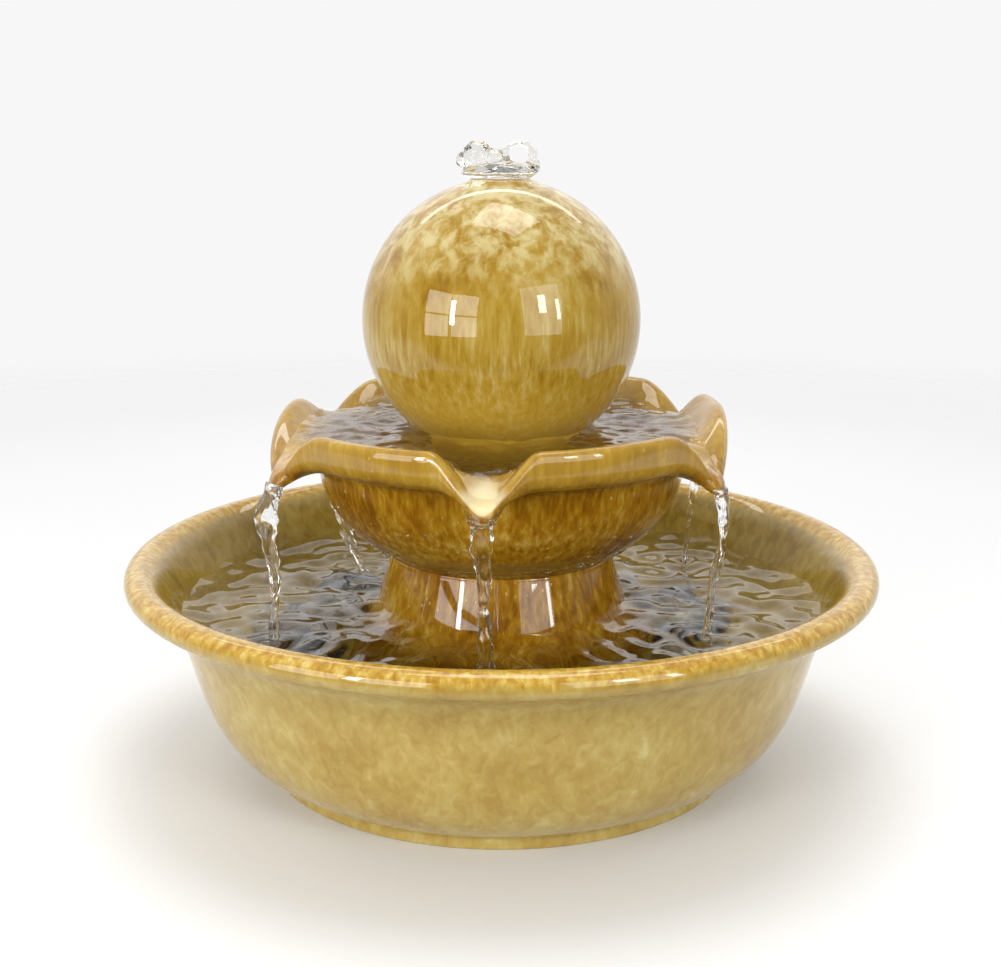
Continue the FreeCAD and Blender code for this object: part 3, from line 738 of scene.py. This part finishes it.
# Surface of the bowl's water beyond the shoulder, (radius, height) on a petal, then on a spout,
# and back under the lip's glaze.
BOWL_WATER_SECTION = np.array((
    ((56.0, 118.6), (56.0, 118.5)), ((60.0, 118.6), (61.0, 118.3)), ((63.4, 118.6), (66.0, 117.8)),
    ((65.8, 118.8), (71.0, 116.2)), ((67.6, 119.9), (76.0, 113.2)), ((68.0, 119.8), (80.4, 110.0)),
    ((68.0, 119.0), (83.0, 106.6)), ((67.6, 118.1), (83.9, 103.4)), ((66.8, 117.2), (82.9, 102.0)),
    ((65.8, 116.4), (81.4, 103.6)), ((64.6, 115.4), (79.6, 105.8)), ((62.8, 113.8), (74.0, 109.4)),
    ((60.8, 111.4), (66.0, 111.8)), ((59.3, 108.6), (60.6, 109.6)), ((59.0, 104.0), (59.0, 104.0))))


def make_bowl_water(material):
    around = 480
    centres = [(0, 0), (-38, 6), (30, -26), (-10, -48), (44, 18), (8, 45)]
    inner = disc_rings(np.linspace(0.5, 54.5, 70), around, BOWL_WATER_Z)
    weights = spline_weights(len(BOWL_WATER_SECTION), 3, 64)
    section = (weights @ BOWL_WATER_SECTION.reshape(len(BOWL_WATER_SECTION), 4)).reshape(-1, 2, 2)
    under = np.array([(59.0, 102.0), (57.0, 95.0), (51.5, 89.2), (44.0, 85.8), (30.0, 85.4), (0.5, 85.4)])
    rings = np.concatenate([inner, around_bowl(section, around, 2.0, 0.85, 0.0), lathe_rings(under, around)])
    open_rings = len(inner) + 30
    fade = np.clip((open_rings - np.arange(open_rings)) / 12, 0, 1)[:, None]
    surface = rings[:open_rings]
    surface[..., 2] += (ripples(surface, centres, 0.34, 7.5, 26.0) + chop(surface, 9.0, 0.8, 8.0)) * fade
    mesh = mesh_of_rings("bowl_water", rings)
    return piece(mesh, "upper_bowl", material, sharp=180)


def stream_path(spout, land_angle, land_r, swing):
    """Points of a stream's middle, from inside the water on the lip down to the basin's water."""
    top_angle = radians(SPOUTS[spout][0])
    land = radians(land_angle)
    start = Vector((SPOUT_TIP_R * cos(top_angle), SPOUT_TIP_R * sin(top_angle), SPOUT_TIP_Z))
    end = Vector((land_r * cos(land), land_r * sin(land), BASIN_WATER_Z - 1.5))
    outwards = Vector((cos(top_angle), sin(top_angle), 0))
    points = []
    for i in range(90):
        t = i / 89
        fall = t ** 1.35
        point = start.lerp(end, fall)
        point.z = start.z + (end.z - start.z) * t
        point += outwards * swing * sin(pi * min(1.0, t * 1.6)) * (1 - t)
        points.append(point)
    return points


def make_stream(name, material):
    """Falling water: a flat sheet at the lip that draws together into a twisting, uneven cord."""
    spout, land_angle, land_r, wide, narrow, swing, seed = STREAMS[name]
    path = stream_path(spout, land_angle, land_r, swing)
    across_angle = radians(SPOUTS[spout][0] + 90)
    around = 40
    rings = []
    for i, point in enumerate(path):
        t = i / (len(path) - 1)
        draw = exp(-((t / 0.26) ** 2))
        twist = 3.6 * t + 0.6 * sin(9 * t + seed)
        beads = 1 + 0.20 * sin(31 * t + 2.1 * seed) * (0.4 + 0.6 * t) + 0.08 * sin(67 * t + seed)
        width = (narrow + (wide - narrow) * draw) / 2 * beads
        depth = (0.62 * narrow + 1.2 * draw) / 2 * (1 - 0.18 * sin(31 * t + 2.1 * seed))
        turn = across_angle + twist * (1 - draw)
        across = Vector((cos(turn), sin(turn), 0))
        through = Vector((-sin(turn), cos(turn), 0))
        ring = []
        for k in range(around):
            a = 2 * pi * k / around
            lobes = 1 + 0.16 * cos(3 * a + 14 * t + seed)
            lobes += 0.25 * noise.noise((2.2 * cos(a) + seed * 5, 2.2 * sin(a), 9 * t))
            offset = across * (width * cos(a) * lobes) + through * (depth * sin(a) * lobes)
            ring.append(tuple(point + offset))
        rings.append(ring)
    mesh = mesh_of_rings("stream_" + name, rings)
    thing = piece(mesh, "upper_bowl", material, sharp=180)
    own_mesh(thing)
    return thing


def arch_mesh(centre, hole_r, thin, thick, deep):
    """Closed ring that stands upright across the view from the front, thinnest on top."""
    rings = []
    for i in range(60):
        a = 2 * pi * i / 60
        across = thick - (thick - thin) * max(0.0, sin(a)) ** 2
        ring = []
        for k in range(24):
            b = 2 * pi * k / 24
            away = hole_r + across + across * cos(b)
            ring.append((centre[0] + away * cos(a), centre[1] + deep * sin(b), centre[2] + away * sin(a)))
        rings.append(ring)
    return mesh_of_rings("arch", rings, loop=True)


def make_bubble(material):
    """Water welling out of the ball's top: two curling lobes, one with a hole, on a spreading base."""
    top = BALL_Z + BALL_R
    lobes = [
        ((-0.8, 0, top + 1.6), (12.6, 10.5, 3.0), 0), ((-8.2, 0, top + 6.0), (5.0, 4.6, 4.6), 0),
        ((-8.0, 0, top + 9.2), (4.2, 3.4, 2.9), 0), ((-12.6, -0.4, top + 5.6), (2.3, 2.5, 2.8), 0),
        ((-2.6, 0.2, top + 6.2), (3.8, 4.2, 3.4), 0), ((-0.6, 0.6, top + 3.6), (6.0, 5.0, 3.0), 0),
        ((6.2, 0, top + 3.0), (6.4, 5.2, 1.9), 0), ((11.0, -0.4, top + 3.6), (1.9, 2.6, 2.4), 0)]
    parts = [sphere_mesh(centre, axes, turn) for centre, axes, turn in lobes]
    parts.append(arch_mesh((5.8, 0, top + 7.4), 3.3, 0.7, 1.4, 2.2))
    skirt = []
    for degrees in np.linspace(66.0, 89.0, 12):
        a = radians(degrees)
        thick = 1.45 * ((degrees - 66) / 23) ** 1.2 - 0.3
        skirt.append(((BALL_R + thick) * cos(a), BALL_Z + (BALL_R + thick) * sin(a)))
    below = [((BALL_R - 1.0) * cos(radians(d)), BALL_Z + (BALL_R - 1.0) * sin(radians(d)))
             for d in np.linspace(89.0, 66.0, 8)]
    parts.append(mesh_of_rings("skirt", lathe_rings(np.array(skirt + below), 120), loop=True))
    mesh = melted("bubble", parts, 0.36, 4)
    for vertex in mesh.vertices:
        place = vertex.co / MM
        rise = min(1.0, max(0.0, (place.z - top - 1.0) / 3.0))
        push = noise.noise(place * 0.32) + 0.35 * noise.noise(place * 0.8)
        vertex.co += vertex.normal * push * 0.7 * rise * MM
    mesh.update()
    return piece(mesh, "ball", material, sharp=180)


# ---- stones in the basin --------------------------------------------------------------------
STONE_ROWS = (
    # ring radius, height that the stones lie on, number of stones, first angle
    (66.5, 13.1, 19, 0.0), (82.5, 15.6, 22, 8.0), (74.5, 24.0, 20, 4.0))
STONE_NODES = ("black_pebbles", "brown_pebbles", "white_pebbles")


def pebble_mesh(i, angle, ring_r, base_z):
    """River pebble: an uneven, slightly dented ellipsoid."""
    long_half = 8.3 + 1.2 * sin(2.1 * i)
    short_half = 6.4 + 0.9 * cos(1.7 * i)
    thick_half = 4.3 + 0.5 * sin(3.3 * i)
    centre = (ring_r + 0.8 * sin(4.0 * i), 0, base_z + thick_half)
    mesh = sphere_mesh(centre, (short_half, long_half, thick_half), 0.0, 36)
    turn = Matrix.Rotation(radians(9 * sin(5.0 * i)), 4, "Z")
    swing = Matrix.Rotation(radians(angle), 4, "Z")
    for vertex in mesh.vertices:
        place = vertex.co / MM
        middle = Vector(centre)
        dent = 1 - 0.05 * abs(noise.noise((place - middle) * 0.16 + Vector((7.7 * i, 0, 0)))) * 2
        local = (place - middle) * dent
        vertex.co = (swing @ (turn @ middle + turn @ local)) * MM
    mesh.update()
    return mesh


def make_pebbles(materials):
    stones = {name: [] for name in STONE_NODES}
    count = 0
    for ring_r, base_z, number, first in STONE_ROWS:
        for k in range(number):
            name = STONE_NODES[(count * 5 + count // 7) % 3]
            stones[name].append(pebble_mesh(count, first + 360.0 * k / number, ring_r, base_z))
            count += 1
    for name in STONE_NODES:
        slot = name.replace("pebbles", "stone")
        piece(joined(name + "_polished", stones[name]), "basin", materials[slot], [name], 180)


# ---- pump and tubes: CAD nodes with their own materials -------------------------------------
def dress_nodes():
    black = moulded("black_plastic", (0.012, 0.012, 0.013), (0.028, 0.028, 0.03), 0.42)
    grey = moulded("grey_plastic", (0.22, 0.225, 0.23), (0.31, 0.315, 0.32), 0.4)
    rubber = moulded("black_rubber", (0.014, 0.014, 0.014), (0.03, 0.03, 0.029), 0.6)
    silicone = moulded("grey_rubber", (0.33, 0.325, 0.31), (0.45, 0.44, 0.42), 0.5)
    ceramic = moulded("white_ceramic", (0.74, 0.73, 0.70), (0.84, 0.83, 0.80), 0.22, 0.5)
    resin = moulded("resin", (0.01, 0.01, 0.011), (0.03, 0.03, 0.03), 0.2, 0.6)
    tube = moulded("clear_tube", (0.78, 0.84, 0.83), (0.86, 0.90, 0.90), 0.12, 0.3, 0.85)
    ferrite = metal("ferrite", (0.045, 0.045, 0.05), (0.09, 0.09, 0.095), 0.45, (900, 300, 900))
    core = metal("core_steel", (0.30, 0.30, 0.31), (0.52, 0.52, 0.53), 0.3, (40, 2400, 40))
    copper = metal("copper_wire", (0.42, 0.14, 0.05), (0.72, 0.33, 0.16), 0.25, (40, 40, 3000))
    sponge = foam()
    finishes = {
        black: ("pump_housing", "volute_cover", "intake_cover"),
        grey: ("impeller", "flow_dial"),
        rubber: ("shaft_bush_front", "shaft_bush_rear", "chamber_seal", "cable_gland", "suction_feet"),
        silicone: ("bowl_grommet", "ball_outlet"),
        ceramic: ("ceramic_shaft",),
        resin: ("potting_resin",),
        tube: ("riser_tube",),
        ferrite: ("rotor_magnet",),
        core: ("stator_core",),
        copper: ("stator_coils",),
        sponge: ("filter_sponge",),
    }
    for material, names in finishes.items():
        for name in names:
            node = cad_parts[name]
            node.data.materials.clear()
            node.data.materials.append(material)


# ---- droplets -------------------------------------------------------------------------------
DROPLETS = 150
DROPLET_SEED = 11


def make_droplets(material):
    """Drops that hang on the underside of the upper bowl, thickest near its foot."""
    random.seed(DROPLET_SEED)
    wall = smooth_curve(
        [(40.6, 75.6), (42.6, 76.8), (49.2, 81.2), (55.4, 87), (60.2, 94.2), (62.4, 101.6)], 80)
    drops = []
    for _ in range(DROPLETS):
        share = random.random() ** 2.2
        i = int(share * 70) + 2
        r, z = wall[i]
        slope = wall[i + 1] - wall[i - 1]
        slope = slope / np.linalg.norm(slope)
        out = (slope[1], -slope[0])
        size = random.uniform(0.3, 0.75)
        a = radians(random.uniform(0, 360))
        centre_r, centre_z = r + out[0] * size * 0.25, z + out[1] * size * 0.25
        centre = (centre_r * cos(a), centre_r * sin(a), centre_z)
        drops.append(sphere_mesh(centre, (size, size, size * 1.15), 0, 12))
    return piece(joined("droplets", drops), "upper_bowl", material, sharp=180)


# ---- studio ---------------------------------------------------------------------------------
def make_camera():
    data = bpy.data.cameras.new("camera")
    data.sensor_width = 36.0
    data.lens = 52.92
    camera = bpy.data.objects.new("camera", data)
    camera.location = (-0.0003, -0.500, 0.213)
    camera.rotation_euler = (radians(76.94), 0.0, 0.0)
    bpy.context.collection.objects.link(camera)
    bpy.context.scene.camera = camera


def make_floor():
    """Large round sheet of pale paper."""
    rings = lathe_rings(np.array([(5.0, 0.0), (400.0, 0.0), (1500.0, 0.0), (7000.0, 0.0)]), 96)
    mesh = bpy.data.meshes.new("floor")
    vertices = (rings.reshape(-1, 3) * MM).tolist()
    faces = [tuple(range(96))]
    for i in range(3):
        for k in range(96):
            m = (k + 1) % 96
            faces.append((i * 96 + k, (i + 1) * 96 + k, (i + 1) * 96 + m, i * 96 + m))
    mesh.from_pydata(vertices, [], faces)
    shader = Shader("paper")
    grain = shader.noise(400, 3.0)
    shader.set(Base_Color=shader.ramp(grain, (0.3, (0.76, 0.76, 0.76)), (0.7, (0.77, 0.77, 0.77))))
    shader.set(Roughness=0.7)
    split = shader.node("ShaderNodeSeparateXYZ")
    shader.feed(split.inputs[0], shader.place)
    front = shader.span(split.outputs["Y"], -0.26, -0.17)
    far = shader.span(shader.radius(), 1100.0, 600.0)
    shader.set(Alpha=shader.math("MULTIPLY", front, far))
    mesh.materials.append(shader.material)
    floor = bpy.data.objects.new("floor", mesh)
    bpy.context.collection.objects.link(floor)


def softbox(name, azimuth, elevation, distance, size, radiance, target=(0, 0, 0.12)):
    """Area light that faces the fountain. Azimuth 0 is in front, and 90 is on the right, in degrees."""
    a, e = radians(azimuth), radians(elevation)
    away = Vector((sin(a) * cos(e), -cos(a) * cos(e), sin(e)))
    data = bpy.data.lights.new(name, "AREA")
    data.shape = "RECTANGLE"
    data.size, data.size_y = size
    data.energy = radiance * pi * size[0] * size[1]
    lamp = bpy.data.objects.new(name, data)
    lamp.location = Vector(target) + away * distance
    lamp.rotation_mode = "QUATERNION"
    lamp.rotation_quaternion = away.to_track_quat("Z", "Y")
    bpy.context.collection.objects.link(lamp)


def make_lights():
    """Two windows of soft light in front with brighter strips, soft light above, a faint strip behind."""
    for n, (side, up) in enumerate(((-1, 1), (1, 1), (-1, -1), (1, -1))):
        softbox("window_left_%d" % n, -41 + side * 11.5, 10 + up * 8, 1.0, (0.36, 0.26), 5.0)
    softbox("strip_left", -39, 12, 0.96, (0.07, 0.30), 25.0)
    softbox("window_right", 33, 14, 1.0, (0.56, 0.66), 3.2)
    softbox("strip_right_a", 33, 19, 0.96, (0.10, 0.22), 16.0)
    softbox("strip_right_b", 46, 14, 0.96, (0.05, 0.24), 16.0)
    softbox("overhead", 150, 86, 1.1, (0.6, 0.5), 4.6)
    softbox("back_strip", 180, 50, 1.2, (1.6, 0.10), 4.0)
    data = bpy.data.lights.new("sky", "SUN")
    data.energy = 0.6
    data.angle = radians(110)
    sky = bpy.data.objects.new("sky", data)
    sky.rotation_euler = (radians(8), radians(-6), 0)
    bpy.context.collection.objects.link(sky)


def make_world():
    """White backdrop behind the fountain, brighter above the camera's view, and a dimmer room in front."""
    world = bpy.data.worlds.new("studio")
    bpy.context.scene.world = world
    world.use_nodes = True
    tree = world.node_tree
    place = tree.nodes.new("ShaderNodeTexCoord")
    split = tree.nodes.new("ShaderNodeSeparateXYZ")
    tree.links.new(place.outputs["Generated"], split.inputs[0])

    def span(value, low, high, to_low, to_high):
        made = tree.nodes.new("ShaderNodeMapRange")
        made.interpolation_type = "SMOOTHSTEP"
        tree.links.new(value, made.inputs["Value"])
        made.inputs["From Min"].default_value = low
        made.inputs["From Max"].default_value = high
        made.inputs["To Min"].default_value = to_low
        made.inputs["To Max"].default_value = to_high
        return made.outputs["Result"]

    def combined(operation, first, second):
        made = tree.nodes.new("ShaderNodeMath")
        made.operation = operation
        tree.links.new(first, made.inputs[0])
        tree.links.new(second, made.inputs[1])
        return made.outputs[0]

    level = span(split.outputs["Y"], -0.7, 0.8, 0.12, 0.93)
    behind = span(split.outputs["Y"], -0.1, 0.5, 0.0, 0.5)
    above = span(split.outputs["Z"], 0.12, 0.24, 0.0, 1.0)
    below_top = span(split.outputs["Z"], 0.75, 0.55, 0.0, 1.0)
    glow = combined("MULTIPLY", behind, combined("MULTIPLY", above, below_top))
    strength = combined("ADD", level, glow)
    tree.nodes["Background"].inputs["Color"].default_value = (1.0, 1.0, 1.0, 1.0)
    tree.links.new(strength, tree.nodes["Background"].inputs["Strength"])
    bpy.context.scene.view_settings.view_transform = "Standard"


# ---- the whole fountain ---------------------------------------------------------------------
make_camera()
make_floor()
make_lights()
make_world()

amber = amber_glaze()
make_basin(sand_glaze())
make_pedestal(amber)
make_petal_bowl(amber)
make_ball(honey_glaze())

stone_materials = {
    "black_stone": stone("black_stone", (0.008, 0.008, 0.010), (0.035, 0.035, 0.042), (0.12, 0.12, 0.13)),
    "brown_stone": stone("brown_stone", (0.045, 0.025, 0.010), (0.13, 0.08, 0.035), (0.22, 0.16, 0.09)),
    "white_stone": stone("white_stone", (0.20, 0.16, 0.10), (0.36, 0.31, 0.22), (0.16, 0.12, 0.08)),
}
make_pebbles(stone_materials)
dress_nodes()

pool = water("water", (0.97, 0.98, 0.97))
falling = water("falling_water", (0.96, 0.955, 0.94))
bubbling = water("bubbling_water", (0.89, 0.87, 0.83))
make_basin_water(pool)
make_bowl_water(pool)
for stream in STREAMS:
    make_stream(stream, falling)
make_bubble(bubbling)
make_droplets(falling)
